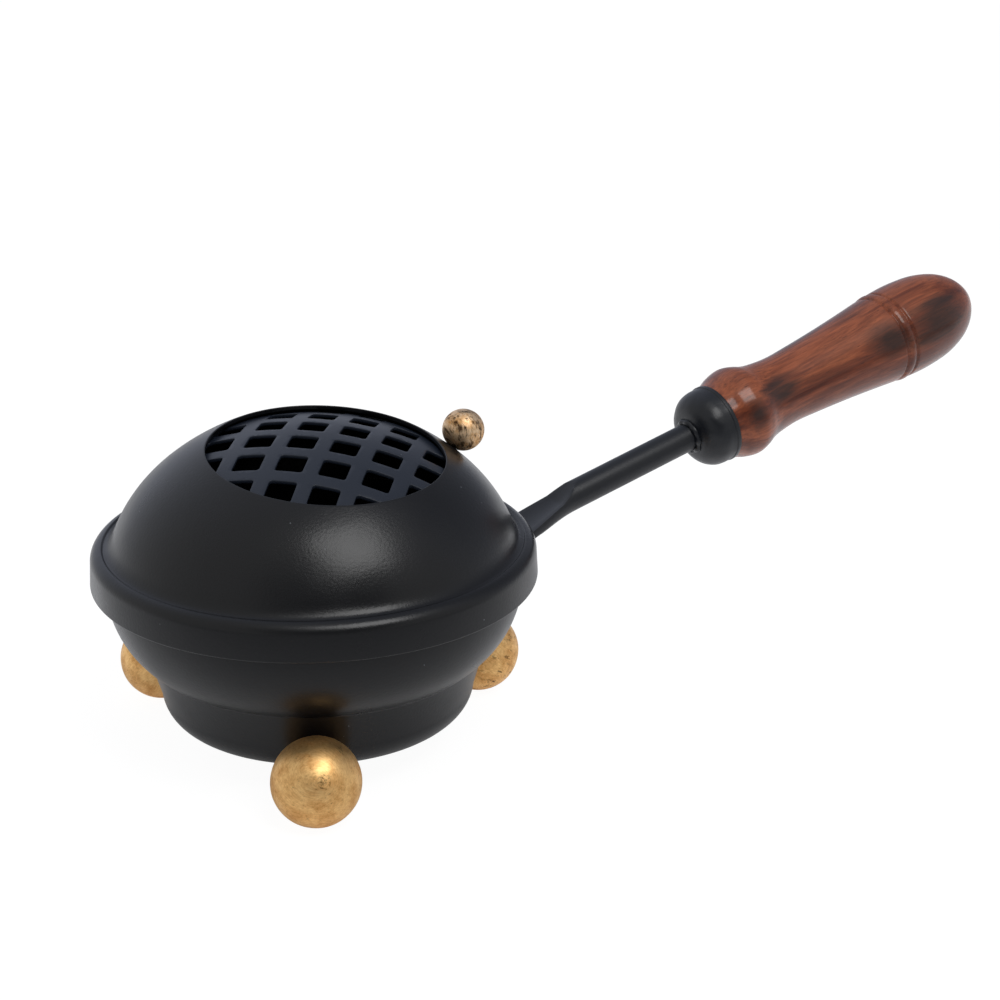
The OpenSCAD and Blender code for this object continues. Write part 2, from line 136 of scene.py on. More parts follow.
def agedGold(name, wearAndShade, colour, centre, axis, poleStain):
    material, tree, surface, place = startMaterial(name, {
        "Base Color": hexColour(colour), "Metallic": 1, "Roughness": gold["roughness"],
    })
    turned = addNode(tree, "Mapping", {"vector_type": "TEXTURE", "Location": centre * mm,
                                       "Rotation": axis.to_track_quat("Z", "Y").to_euler()}, {"Vector": place})
    # the same all round the axis, but for a slow drift that breaks the rings up
    split = addNode(tree, "SeparateXYZ", links={0: turned.outputs[0]})
    level = addNode(tree, "VectorMath", {"operation": "MULTIPLY", 1: (1, 1, 0)}, {0: turned.outputs[0]})
    fromAxis = addNode(tree, "VectorMath", {"operation": "LENGTH"}, {0: level.outputs[0]})
    rings = addNode(tree, "CombineXYZ", links={"X": fromAxis.outputs["Value"], "Y": split.outputs["Z"]})

    def drifting(share):
        drift = addNode(tree, "VectorMath", {"operation": "SCALE", "Scale": share}, {0: turned.outputs[0]})
        both = addNode(tree, "VectorMath", {"operation": "ADD"}, {0: rings.outputs[0], 1: drift.outputs[0]})
        return both.outputs[0]

    # scratches are 0.1 mm wide on the real ball and 0.3 mm here, so that they show
    scratch = addNode(tree, "TexNoise", {"Scale": 1 / (gold["scratch"] * mm), "Detail": 4},
                      {"Vector": drifting(gold["ringDrift"])})
    patch = addNode(tree, "TexNoise", {"Scale": 1 / (gold["patch"] * mm), "Detail": 5, "Roughness": 0.6},
                    {"Vector": turned.outputs[0]})
    patchShare = addNode(tree, "MapRange", {1: 0.42, 2: 0.64, 3: 0.0, 4: 0.7}, {0: patch.outputs["Fac"]})
    speckle = addNode(tree, "TexNoise", {"Scale": 1 / (gold["speckle"] * mm), "Detail": 4, "Roughness": 0.7},
                      {"Vector": turned.outputs[0]})
    dulled = addNode(tree, "Math", {"operation": "MULTIPLY_ADD", 1: 1.6, 2: -0.8}, {0: speckle.outputs["Fac"]})
    dullShare = addNode(tree, "Math", {"operation": "ADD", "use_clamp": True},
                        {0: dulled.outputs[0], 1: patchShare.outputs[0]})
    base = addNode(tree, "Mix", {"data_type": "RGBA", 6: hexColour(colour), 7: hexColour(gold["dull"])},
                   {0: dullShare.outputs[0]})
    scratchShare = addNode(tree, "MapRange", {1: 0.35, 2: 0.65, 3: 0.0, 4: 0.36}, {0: scratch.outputs["Fac"]})
    scratched = addNode(tree, "Mix", {"data_type": "RGBA", "blend_type": "MULTIPLY", 7: hexColour("#c29a68")},
                        {0: scratchShare.outputs[0], 6: base.outputs[2]})
    stain = addNode(tree, "TexNoise", {"Scale": 1 / (gold["stain"] * mm), "Detail": 7, "Roughness": 0.7},
                    {"Vector": drifting(gold["stainDrift"])})
    # patina share, grown by the wear share; on the first foot part of it is painted shade
    stainAndShadeShare = addNode(tree, "MapRange", {1: 0.68 - 0.2 * wearAndShade, 2: 0.8 - 0.2 * wearAndShade, 3: 0.0, 4: 0.92},
                         {0: stain.outputs["Fac"]})
    # the brush leaves a mottled dark spot where the axis comes out
    pole = addNode(tree, "MapRange", {1: gold["poleWidth"] * mm, 2: 0, 3: 0.0, 4: poleStain},
                   {0: fromAxis.outputs["Value"]})
    nearSide = addNode(tree, "Math", {"operation": "GREATER_THAN", 1: 0}, {0: split.outputs["Z"]})
    mottled = addNode(tree, "Math", {"operation": "MULTIPLY_ADD"},
                      {0: pole.outputs[0], 1: nearSide.outputs[0], 2: speckle.outputs["Fac"]})
    poleShare = addNode(tree, "MapRange", {1: 0.62, 2: 0.85, 3: 0.0, 4: 0.8}, {0: mottled.outputs[0]})
    darkShare = addNode(tree, "Math", {"operation": "MAXIMUM"}, {0: stainAndShadeShare.outputs[0], 1: poleShare.outputs[0]})
    colourMix = addNode(tree, "Mix", {"data_type": "RGBA", 7: hexColour(gold["patina"])},
                        {0: darkShare.outputs[0], 6: scratched.outputs[2]})
    rough = addNode(tree, "MapRange", {1: 0.3, 2: 0.7, 3: gold["roughness"] - 0.1, 4: gold["roughness"] + 0.12},
                    {0: patch.outputs["Fac"]})
    scratchBump = addNode(tree, "Bump", {"Strength": 0.35, "Distance": 0.04 * mm}, {"Height": scratch.outputs["Fac"]})
    stainBump = addNode(tree, "Bump", {"Strength": 0.4, "Distance": 0.08 * mm},
                        {"Height": stain.outputs["Fac"], "Normal": scratchBump.outputs[0]})
    joinSurface(tree, surface, {"Base Color": colourMix.outputs[2], "Roughness": rough.outputs[0],
                                "Normal": stainBump.outputs[0]})
    return material


# where the handle's centre line meets the bowl's axis, in mm, and how it rises, in degrees
handleHeight, handleRise = 34.1, 13.5


# Rosewood, turned, sanded and lacquered: red-brown with charcoal heartwood bands, long fibres and short dark
# pores along the grip, under a clear satin gloss
wood = {
    "light": "#9c5433", "middle": "#783a20", "dark": "#4a1d10", "heart": "#1c1210",
    "fibre": 0.7, "fibreLength": 26, "figure": 7, "figureLength": 70, "pore": 0.35, "poreLength": 4.5,
    "lacquerRoughness": 0.15,
    # centre (across, sideways, along) and half size of each heartwood band, in mm on the grip
    "heartBands": [
        ((-4, -14, 237), (7, 5, 13)), ((-9, -11, 240), (2.2, 4, 11)), ((-5, -13, 217), (5, 5, 9)),
        ((-10.3, 6, 194), (2.4, 4, 18)), ((-11, 3, 214), (2.4, 4, 10)), ((-5, -10.5, 170), (3.2, 3.6, 8)),
        ((-8, -8, 167), (1.6, 3, 9)), ((-4, -14, 158), (4, 4, 4)), ((9, 10, 205), (7, 8, 24)),
        ((12, -4, 240), (6, 8, 14)),
    ],
}


def lacqueredRosewood(name):
    material, tree, surface, place = startMaterial(name, {
        "Roughness": 0.45, "IOR": 1.5, "Specular IOR Level": 0.15,
        "Coat Weight": 0.62, "Coat Roughness": wood["lacquerRoughness"], "Coat IOR": 1.5,
    })
    # the grain runs along the grip, which rises with the handle
    place = addNode(tree, "Mapping", {"vector_type": "TEXTURE", "Location": (0, 0, handleHeight * mm),
                                      "Rotation": (0, math.radians(90 - handleRise), 0)},
                    {"Vector": place}).outputs[0]
    along = addNode(tree, "Mapping", {"Scale": (1, 1, wood["fibre"] / wood["fibreLength"])}, {"Vector": place})
    fibre = addNode(tree, "TexNoise", {"Scale": 1 / (wood["fibre"] * mm), "Detail": 4, "Roughness": 0.6},
                    {"Vector": along.outputs[0]})
    figureMap = addNode(tree, "Mapping", {"Scale": (1, 1, wood["figure"] / wood["figureLength"]),
                                          "Rotation": (0.05, 0.08, 0)}, {"Vector": place})
    figure = addNode(tree, "TexNoise", {"Scale": 1 / (wood["figure"] * mm), "Detail": 5, "Roughness": 0.62,
                                        "Distortion": 0.7}, {"Vector": figureMap.outputs[0]})
    base = addNode(tree, "ValToRGB", {"stops": [
        (0.3, hexColour(wood["dark"])), (0.46, hexColour(wood["middle"])),
        (0.6, hexColour(wood["light"])), (0.75, hexColour(wood["middle"])),
    ]}, {0: figure.outputs["Fac"]})
    fibreTint = addNode(tree, "MapRange", {1: 0.3, 2: 0.7, 3: 0.62, 4: 1.22}, {0: fibre.outputs["Fac"]})
    fibred = addNode(tree, "VectorMath", {"operation": "SCALE"}, {0: base.outputs[0], "Scale": fibreTint.outputs[0]})
    poreMap = addNode(tree, "Mapping", {"Scale": (1, 1, wood["pore"] / wood["poreLength"])}, {"Vector": place})
    pore = addNode(tree, "TexNoise", {"Scale": 1 / (wood["pore"] * mm), "Detail": 2}, {"Vector": poreMap.outputs[0]})
    poreShare = addNode(tree, "MapRange", {1: 0.63, 2: 0.72, 3: 0.0, 4: 0.55}, {0: pore.outputs["Fac"]})
    pored = addNode(tree, "Mix", {"data_type": "RGBA", 7: hexColour(wood["heart"])},
                    {0: poreShare.outputs[0], 6: fibred.outputs[0]})
    # heartwood bands: soft egg shapes along the grain, torn by the figure
    share = None
    for centre, half in wood["heartBands"]:
        egg = addNode(tree, "Mapping", {"vector_type": "TEXTURE", "Location": [c * mm for c in centre],
                                        "Scale": [h * mm for h in half]}, {"Vector": place})
        reach = addNode(tree, "VectorMath", {"operation": "LENGTH"}, {0: egg.outputs[0]})
        torn = addNode(tree, "Math", {"operation": "MULTIPLY_ADD", 1: -3.2},
                       {0: figure.outputs["Fac"], 2: reach.outputs["Value"]})
        band = addNode(tree, "MapRange", {1: -0.2, 2: -1.0, 3: 0.0, 4: 0.82}, {0: torn.outputs[0]})
        share = band if share is None else addNode(tree, "Math", {"operation": "MAXIMUM"},
                                                   {0: share.outputs[0], 1: band.outputs[0]})
    colour = addNode(tree, "Mix", {"data_type": "RGBA", 7: hexColour(wood["heart"])},
                     {0: share.outputs[0], 6: pored.outputs[2]})
    fibreBump = addNode(tree, "Bump", {"Strength": 0.25, "Distance": 0.05 * mm}, {"Height": fibre.outputs["Fac"]})
    joinSurface(tree, surface, {"Base Color": colour.outputs[2], "Normal": fibreBump.outputs[0]})
    return material


# Zinc-plated screws and washers: pale bluish metal with small crystals and turning marks
zinc = {"colour": "#b9bdc4", "roughness": 0.34, "crystal": 1.4, "streak": 0.4}


def zincPlate(name):
    material, tree, surface, place = startMaterial(name, {"Metallic": 1, "Roughness": zinc["roughness"]})
    crystal = addNode(tree, "TexVoronoi", {"Scale": 1 / (zinc["crystal"] * mm)}, {"Vector": place})
    pick = addNode(tree, "SeparateColor", links={"Color": crystal.outputs["Color"]})
    rough = addNode(tree, "MapRange", {3: zinc["roughness"] - 0.06, 4: zinc["roughness"] + 0.1},
                    {0: pick.outputs["Red"]})
    streak = addNode(tree, "TexNoise", {"Scale": 1 / (zinc["streak"] * mm), "Detail": 3}, {"Vector": place})
    tint = addNode(tree, "ValToRGB", {"stops": [(0.3, hexColour("#9aa0a8")), (0.7, hexColour(zinc["colour"]))]},
                   {0: streak.outputs["Fac"]})
    bump = addNode(tree, "Bump", {"Strength": 0.3, "Distance": 0.03 * mm}, {"Height": streak.outputs["Fac"]})
    joinSurface(tree, surface, {"Base Color": tint.outputs[0], "Roughness": rough.outputs[0],
                                "Normal": bump.outputs[0]})
    return material


coatBlack = powderCoatBlack("powderCoatBlack", coat["colour"], coat["roughness"])
# the rod, collar and welds were sprayed thinner over rougher metal, so they are flatter
coatRough = powderCoatBlack("powderCoatRough", "#11141a", 0.36, 0.44, 0.07)
# the grille's coat is bluer and a little flatter, over punched sheet
coatGrille = powderCoatBlack("grilleCoatBlued", "#1d232e", 0.36, 0.4, 0.04)
woodLacquer = lacqueredRosewood("lacqueredRosewood")
zincSteel = zincPlate("zincPlate")
print("materials made")


def arc(centre, radius, start, end, count):
    # points on a circle, angles in degrees
    angles = [math.radians(start + (end - start) * i / count) for i in range(count + 1)]
    return [(centre[0] + radius * math.cos(a), centre[1] + radius * math.sin(a)) for a in angles]


def softCorners(path, steps=4):
    # rounds each corner of an outline that has a third number, its radius
    made = []
    for i, point in enumerate(path):
        if len(point) < 3:
            made.append(tuple(point))
            continue
        corner = Vector(point[:2])
        back = Vector(path[i - 1][:2]) - corner
        ahead = Vector(path[(i + 1) % len(path)][:2]) - corner
        half = back.angle(ahead) / 2
        reach = min(point[2] / math.tan(half), 0.45 * back.length, 0.45 * ahead.length)
        radius = reach * math.tan(half)
        middle = corner + (back.normalized() + ahead.normalized()).normalized() * radius / math.sin(half)
        start, end = corner + back.normalized() * reach - middle, corner + ahead.normalized() * reach - middle
        turn = start.angle_signed(end)
        for k in range(steps + 1):
            spoke = Matrix.Rotation(-turn * k / steps, 2) @ start
            made.append(tuple(middle + spoke))
    return made


def turns(count):
    # evenly spaced angles all the way round
    return [2 * math.pi * i / count for i in range(count)]


def seek(low, high, isBelow, steps=30):
    # the value between low and high where isBelow turns false
    for _ in range(steps):
        middle = (low + high) / 2
        low, high = (middle, high) if isBelow(middle) else (low, middle)
    return low


def ring(radius, height, count, place=None):
    # a circle of points about Z, or a single point on the axis
    if radius < 1e-6:
        points = [Vector((0, 0, height))]
    else:
        points = [Vector((radius * math.cos(a), radius * math.sin(a), height)) for a in turns(count)]
    return [place @ p for p in points] if place else points


def skin(rings, loop=False):
    # joins rings of points with four-sided faces; a ring of one point closes an end
    points, starts, faces = [], [], []
    for r in rings:
        starts.append(len(points))
        points += r
    pairs = [(i, i + 1) for i in range(len(rings) - 1)] + ([(len(rings) - 1, 0)] if loop else [])
    for a, b in pairs:
        na, nb = len(rings[a]), len(rings[b])
        count = max(na, nb)
        for i in range(count):
            j = (i + 1) % count
            corners = [starts[a] + i % na, starts[a] + j % na, starts[b] + j % nb, starts[b] + i % nb]
            faces.append(list(dict.fromkeys(corners)))
    return points, faces


def addPiece(name, points, faces, material, body, slotName, stoodFor=(), place=None, sharp=34):
    # points are in millimetres, in the part's frame or in the place given
    mesh = bpy.data.meshes.new(name)
    mesh.from_pydata([(place @ p if place else p) * mm for p in points], [], faces)
    work = bmesh.new()
    work.from_mesh(mesh)
    bmesh.ops.recalc_face_normals(work, faces=work.faces)
    work.to_mesh(mesh)
    work.free()
    mesh.shade_smooth()
    mesh.set_sharp_from_angle(angle=math.radians(sharp))
    mesh.materials.append(material)
    piece = bpy.data.objects.new(name, mesh)
    bpy.context.scene.collection.objects.link(piece)
    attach(piece, body)
    if stoodFor:
        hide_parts(*stoodFor)
    return piece


# Sizes shared by the pieces, in millimetres, as the CAD part has them
sheet = 1.2
bowl = {
    "baseHeight": 9, "baseRadius": 45.5, "cornerRadius": 8.6, "wallFlare": 3.1, "radius": 59.7,
    "shoulderCurve": 27.5, "straightWall": 9.5, "rimHeight": 59.8, "rimBead": 1.3,
    "stepRound": 1.1, "segments": 216,
}
cornerCentre = (bowl["baseRadius"] - bowl["cornerRadius"], bowl["baseHeight"] + bowl["cornerRadius"])
shoulderCentre = (bowl["radius"] - bowl["shoulderCurve"], bowl["rimHeight"] - bowl["straightWall"])
stepRadius = bowl["baseRadius"] + bowl["wallFlare"]
rimCentre = (bowl["radius"] - sheet / 2 + bowl["rimBead"], bowl["rimHeight"] - bowl["rimBead"] + 0.1)


def bowlOutline(inset):
    # the bowl's section from the edge of its flat floor up to the straight wall
    curve = bowl["shoulderCurve"] - inset
    start = -math.degrees(math.acos((stepRadius - inset - shoulderCentre[0]) / curve))
    shoulder = arc(shoulderCentre, curve, start, 0, 30)
    return (arc(cornerCentre, bowl["cornerRadius"] - inset, -90, 0, 14)
            + [(*shoulder[0], bowl["stepRound"] + inset)] + shoulder[1:])


def buildBowl():
    bead = bowl["rimBead"]
    outside = [(0, bowl["baseHeight"]), (18, bowl["baseHeight"])] + bowlOutline(0)
    outside.append((bowl["radius"], rimCentre[1] - 1.35, 0.35))
    rim = arc(rimCentre, bead, -118, 67.4, 16) + arc(rimCentre, bead, 112.6, 152, 3)
    inside = [(bowl["radius"] - sheet, bowl["rimHeight"] - 0.6, 0.3)] + bowlOutline(sheet)[::-1]
    floor = [(18, bowl["baseHeight"] + sheet), (0, bowl["baseHeight"] + sheet)]
    rings = [ring(r, z, bowl["segments"]) for r, z in softCorners(outside + rim + inside + floor)]
    return addPiece("bowlShell", *skin(rings), coatBlack, "base", "black_coat", ["bowl", "bowl_floor"])


buildBowl()
print("bowl made")


lid = {
    "skirtDepth": 9.7, "flangeWidth": 3.2, "domeRise": 37.3, "flangeRound": 3.6, "flangeRise": 1, "skirtGap": 1.1,
    "openingRadius": 33.6, "openingLean": 6.4, "openingTurn": -82, "skirtTaper": 0.4,
    "footInset": 2.4, "footStart": 38, "footEnd": 62.7, "flareHeight": 3.4, "flareSlope": 0.12, "hollowRound": 0.8,
    "edgeRound": 0.32, "creaseRound": 0.2, "segments": 240, "domeRings": 40,
}
lidRadius = rimCentre[0] + bowl["rimBead"] + lid["skirtGap"] + sheet
creaseRadius = lidRadius - lid["flangeWidth"]
creaseHeight = bowl["rimHeight"] + sheet
skirtHeight = creaseHeight - lid["skirtDepth"]
domeRadius = (creaseRadius ** 2 + lid["domeRise"] ** 2) / (2 * lid["domeRise"])
domeCentre = creaseHeight + lid["domeRise"] - domeRadius
domeInner = domeRadius - sheet
skirtTop = lidRadius - lid["skirtTaper"]
flangeCentre = (skirtTop - lid["flangeRound"], creaseHeight + lid["flangeRise"] - lid["flangeRound"])
hollowCentre = (skirtTop - sheet - lid["hollowRound"], creaseHeight - 0.8)
openingTurned = Matrix.Rotation(math.radians(lid["openingTurn"]), 4, "Z")
openingFrame = (Matrix.Translation((0, 0, domeCentre)) @ openingTurned
                @ Matrix.Rotation(math.radians(lid["openingLean"]), 4, "Y"))
# the same, turned back so that its points start above those of the bowl's own circles
openingStraight = openingFrame @ openingTurned.inverted()


def drawnIn(radius, angle):
    # the dome's foot is drawn in from the sphere towards the crease; the angle is from the top
    share = max(0, (math.degrees(angle) - lid["footStart"]) / (lid["footEnd"] - lid["footStart"]))
    return (radius * math.sin(angle) - lid["footInset"] * share ** 2, domeCentre + radius * math.cos(angle))


def domeRings(radius, lowAngle, openingEdge, count):
    # circles on the dome that pass smoothly from the level foot to the leaning opening
    centre = Vector((0, 0, domeCentre))

    def onDome(way):
        across, height = drawnIn(radius, way.angle(Vector((0, 0, 1))))
        return Vector((*(way.xy.normalized() * across), height))

    lowHeight = domeCentre + radius * math.cos(lowAngle)
    low = [p - centre for p in ring(radius * math.sin(lowAngle), lowHeight, lid["segments"])]
    edgeHeight = math.sqrt(radius ** 2 - openingEdge ** 2)
    high = [p - centre for p in ring(openingEdge, edgeHeight, lid["segments"], openingStraight)]
    return [[onDome(p.slerp(q, k / count)) for p, q in zip(low, high)] for k in range(count + 1)]


def buildLid():
    # the flange's rounded edge comes down to a fine crease, from which the dome's foot flares up
    edge = arc(flangeCentre, lid["flangeRound"], 3, 84, 16)
    crease = Vector(edge[-1]) - Vector((0.5, 0.42))
    footAngle = math.acos((crease.y + lid["flareHeight"] - domeCentre) / domeRadius)
    foot = Vector(drawnIn(domeRadius, footAngle))
    along = (Vector(drawnIn(domeRadius, footAngle + 0.01)) - foot).normalized()
    reach = (crease.y + lid["flareSlope"] * (crease.x - foot.x) - foot.y) / (along.y + lid["flareSlope"] * along.x)
    turn = foot + along * reach
    flare = [crease.lerp(turn, t).lerp(turn.lerp(foot, t), t) for t in (0.12, 0.25, 0.4, 0.55, 0.7, 0.85)]
    innerAngle = math.acos((bowl["rimHeight"] - domeCentre) / domeInner)
    innerFoot = drawnIn(domeInner, innerAngle)
    small = lid["hollowRound"]
    outer = [(lidRadius - sheet, skirtHeight, 0.4), (lidRadius, skirtHeight, 0.5)] + edge[:-1]
    outer += [(*edge[-1], 0.25), (*crease, lid["creaseRound"])] + [tuple(p) for p in flare] + [tuple(foot)]
    inner = [innerFoot, (hollowCentre[0] - math.sqrt(small ** 2 - 0.16), bowl["rimHeight"])]
    inner += arc(hollowCentre, small, 205, 0, 12)
    skirt = softCorners(inner[-1:] + outer)[1:-1]
    lip = softCorners([
        (lid["openingRadius"] + 0.8, math.sqrt(domeRadius ** 2 - (lid["openingRadius"] + 0.8) ** 2)),
        (lid["openingRadius"], math.sqrt(domeRadius ** 2 - lid["openingRadius"] ** 2), lid["edgeRound"]),
        (lid["openingRadius"], math.sqrt(domeInner ** 2 - lid["openingRadius"] ** 2), lid["edgeRound"] * 0.8),
        (lid["openingRadius"] + 0.8, math.sqrt(domeInner ** 2 - (lid["openingRadius"] + 0.8) ** 2)),
    ])[1:-1]
    rings = [ring(r, z, lid["segments"]) for r, z in skirt]
    rings += domeRings(domeRadius, footAngle, lid["openingRadius"] + 0.8, lid["domeRings"])
    rings += [ring(r, z, lid["segments"], openingStraight) for r, z in lip]
    rings += domeRings(domeInner, innerAngle, lid["openingRadius"] + 0.8, lid["domeRings"])[::-1]
    rings += [ring(r, z, lid["segments"]) for r, z in inner[1:]]
    return addPiece("lidDome", *skin(rings, loop=True), coatBlack, "lid", "black_coat", ["lid_dome"])


buildLid()
print("lid made")


grille = {
    "drop": 3.5, "margin": 3.9, "thickness": 1, "pitch": 12.1, "holeSide": 7.8, "holeCorner": 0.9,
    "gridTurn": -43, "gridShift": (0.05, 2.55), "rim": 1.2, "edgeRound": 0.1,
    "rows": 4, "sidePoints": 80, "rimPoints": 240, "meshStep": 1.3,
}


def buildGrille():
    edgeRadius = lid["openingRadius"] + grille["margin"]
    edgeHeight = math.sqrt(domeInner ** 2 - edgeRadius ** 2)
    rise = domeInner - edgeHeight - grille["drop"]
    curve = (edgeRadius ** 2 + rise ** 2) / (2 * rise)
    offset = edgeHeight + rise - curve
    rimRadius = edgeRadius - 0.15
    turn = Matrix.Rotation(math.radians(grille["gridTurn"] - lid["openingTurn"]), 2)

    def height(point, depth):
        return offset + math.sqrt((curve - depth) ** 2 - point.length_squared)

    def holeReach(direction, grow):
        # distance from a hole's middle to its grown outline
        half, corner = grille["holeSide"] / 2 + grow, grille["holeCorner"] + grow
        x, y = abs(direction.x), abs(direction.y)
        reach = half / max(x, y)
        if min(x, y) * reach > half - corner:
            c = Vector((half - corner, half - corner))
            along = c.dot(Vector((x, y)))
            reach = along + math.sqrt(along ** 2 - c.length_squared + corner ** 2)
        return reach

    limit = edgeRadius - grille["rim"]

    def isInHole(point, centre, grow):
        out = point - centre
        return out.length <= 1e-6 or (point.length < limit + grow
                                      and out.length < holeReach(out.normalized(), grow))

    # each outline in three levels, from the sheet's face round to the hole's wall
    outlines = []
    for i in range(-grille["rows"], grille["rows"]):
        for j in range(-grille["rows"], grille["rows"]):
            centre = Vector(grille["gridShift"]) + Vector((i + 0.5, j + 0.5)) * grille["pitch"]
            if centre.length >= limit - 0.7:
                continue
            # the middle of the hole's part inside the rim, from which its outline is seen whole
            spots = [centre + Vector((x, y)) * grille["holeSide"] / 10 for x in range(-4, 5) for y in range(-4, 5)]
            spots = [s for s in spots if s.length < limit - 0.3]
            middle = sum(spots, Vector((0, 0))) / len(spots)
            rays = [Vector((math.cos(a), math.sin(a))) for a in turns(grille["sidePoints"])]
            levels = []
            for grow in (grille["edgeRound"], 0.41 * grille["edgeRound"], 0):
                loop = []
                for ray in rays:
                    reach = seek(0.0, 12.0, lambda r: isInHole(middle + ray * r, centre, grow), 24)
                    loop.append(turn @ (middle + ray * reach))
                levels.append(loop)
            outlines.append(levels)
    outlines.append([[Vector((r * math.cos(a), r * math.sin(a))) for a in turns(grille["rimPoints"])]
                     for r in (rimRadius - grille["edgeRound"], rimRadius - 0.07, rimRadius)])

    # the sheet between the outlines, filled with even triangles
    flat, edges, loops = [], [], []
    for levels in outlines:
        start, count = len(flat), len(levels[0])
        flat += levels[0]
        edges += [(start + k, start + (k + 1) % count) for k in range(count)]
        loops.append((start, count))
    reach = int(rimRadius / grille["meshStep"]) + 1
    for i in range(-reach, reach + 1):
        for j in range(-reach, reach + 1):
            p = Vector((i + 0.5 * (j % 2), j * 0.87)) * grille["meshStep"]
            if p.length > rimRadius - grille["edgeRound"] - 0.5:
                continue
            if all((p - q).length > 0.5 for levels in outlines[:-1] for q in levels[0][::4]
                   if abs(p.x - q.x) < 0.6 and abs(p.y - q.y) < 0.6):
                flat.append(p)
    spots, _, triangles, origins, _, _ = delaunay_2d_cdt(flat, edges, [], 0, 1e-5)
    holes = [(sum(levels[0], Vector((0, 0))) / len(levels[0]), levels[0]) for levels in outlines[:-1]]

    def isOpen(point):
        if point.length > rimRadius - grille["edgeRound"]:
            return True
        for middle, loop in holes:
            if (point - middle).length < grille["holeSide"]:
                crossings = 0
                for k in range(len(loop)):
                    p, q = loop[k], loop[(k + 1) % len(loop)]
                    if (p.y > point.y) != (q.y > point.y):
                        if point.x < p.x + (point.y - p.y) * (q.x - p.x) / (q.y - p.y):
                            crossings += 1
                if crossings % 2:
                    return True
        return False

    kept = [t for t in triangles if not isOpen((spots[t[0]] + spots[t[1]] + spots[t[2]]) / 3)]
    made = {}
    for new, olds in enumerate(origins):
        for old in olds:
            made[old] = new
    # the top face, the bottom face, and the walls that join them
    points = [Vector((*p, height(p, depth))) for depth in (0, grille["thickness"]) for p in spots]
    below = len(spots)
    faces = [list(t) for t in kept] + [[i + below for i in reversed(t)] for t in kept]
    for levels, (start, count) in zip(outlines, loops):
        bands = [[made[start + k] for k in range(count)]]
        soft = grille["edgeRound"]
        for level, depth in ((1, soft * 0.3), (2, soft), (2, grille["thickness"] - soft),
                             (1, grille["thickness"] - soft * 0.3)):
            bands.append(list(range(len(points), len(points) + count)))
            points += [Vector((*p, height(p, depth))) for p in levels[level]]
        bands.append([made[start + k] + below for k in range(count)])
        for upper, lower in zip(bands, bands[1:]):
            faces += [[upper[k], upper[(k + 1) % count], lower[(k + 1) % count], lower[k]] for k in range(count)]
    used = sorted({i for f in faces for i in f})
    renumber = {old: new for new, old in enumerate(used)}
    return addPiece("grillePlate", [points[i] for i in used], [[renumber[i] for i in f] for f in faces],
                    coatGrille, "lid", "blued_grille", ["grille"], openingFrame, sharp=50)


buildGrille()
print("grille made")


def roundedCube(steps):
    # an even sphere of radius 1 from a divided cube
    points, faces, seen = [], [], {}

    def corner(p):
        key = tuple(round(c, 6) for c in p)
        if key not in seen:
            seen[key] = len(points)
            points.append(p)
        return seen[key]

    sides = [(Vector((1, 0, 0)), Vector((0, 1, 0))), (Vector((0, 1, 0)), Vector((0, 0, 1))),
             (Vector((0, 0, 1)), Vector((1, 0, 0)))]
    for across, up in sides:
        for sign in (1, -1):
            out = across.cross(up) * sign
            grid = [[corner((out + across * math.tan(math.pi / 4 * (2 * i / steps - 1))
                             + up * math.tan(math.pi / 4 * (2 * j / steps - 1))).normalized())
                     for i in range(steps + 1)] for j in range(steps + 1)]
            faces += [[grid[j][i], grid[j][i + 1], grid[j + 1][i + 1], grid[j + 1][i]]
                      for i in range(steps) for j in range(steps)]
    return points, faces


ball = {
    "footRadius": 12.5, "footSeat": 1.62, "knobRadius": 6.2, "knobSeat": 0.35, "knobTurn": 81.5, "knobGap": 9.9,
    "steps": 40, "dent": 0.05, "dentWidth": 6,
}
footReach = bowl["cornerRadius"] + ball["footRadius"] - ball["footSeat"]
footDrop = math.asin((cornerCentre[1] - ball["footRadius"]) / footReach)


def hammered(point, radius, seed):
    # a cast ball is never quite round
    depth = noise.noise(point * radius / ball["dentWidth"] + Vector((seed, seed * 2, 0)))
    return point * (radius - ball["dent"] * (1 + depth))


def outOfBowl(point):
    # moves a point that lies in the bowl out to its surface
    across = math.hypot(point.x, point.y)
    sideways = Vector((point.x, point.y)) / across
    if point.z > cornerCentre[1]:
        rise = (point.z - cornerCentre[1]) / 10.6
        across = max(across, bowl["baseRadius"] + bowl["wallFlare"] * rise)
        return Vector((*(sideways * across), point.z))
    out = Vector((across - cornerCentre[0], point.z - cornerCentre[1]))
    if out.length < bowl["cornerRadius"]:
        out = out.normalized() * bowl["cornerRadius"]
    return Vector((*(sideways * (cornerCentre[0] + out.x)), cornerCentre[1] + out.y))


def buildFeet():
    underside = Matrix.Translation((cornerCentre[0], 0, cornerCentre[1]))
    for k in range(3):
        place = (Matrix.Rotation(2 * math.pi * k / 3, 4, "Z") @ underside
                 @ Matrix.Rotation(math.pi / 2 + footDrop, 4, "Y") @ Matrix.Translation((0, 0, footReach)))
        points, faces = roundedCube(ball["steps"])
        back = place.inverted()
        points = [back @ outOfBowl(place @ hammered(p, ball["footRadius"], 3.1 * k + 1)) for p in points]
        axis = towards(360 * k / 3 + gold["axisTurn"], gold["axisRise"])
        # the first foot's material is a darker copy, partly painted shade
        brass = agedGold(f"agedGoldFoot{k + 1}", gold["footWearAndShade"][k], gold["colour"],
                         place.translation, axis, gold["poleStain"])
        addPiece(f"ballFoot{k + 1}", points, faces, brass, "base", "aged_gold", [f"foot_ball_{k + 1}"], place, 60)


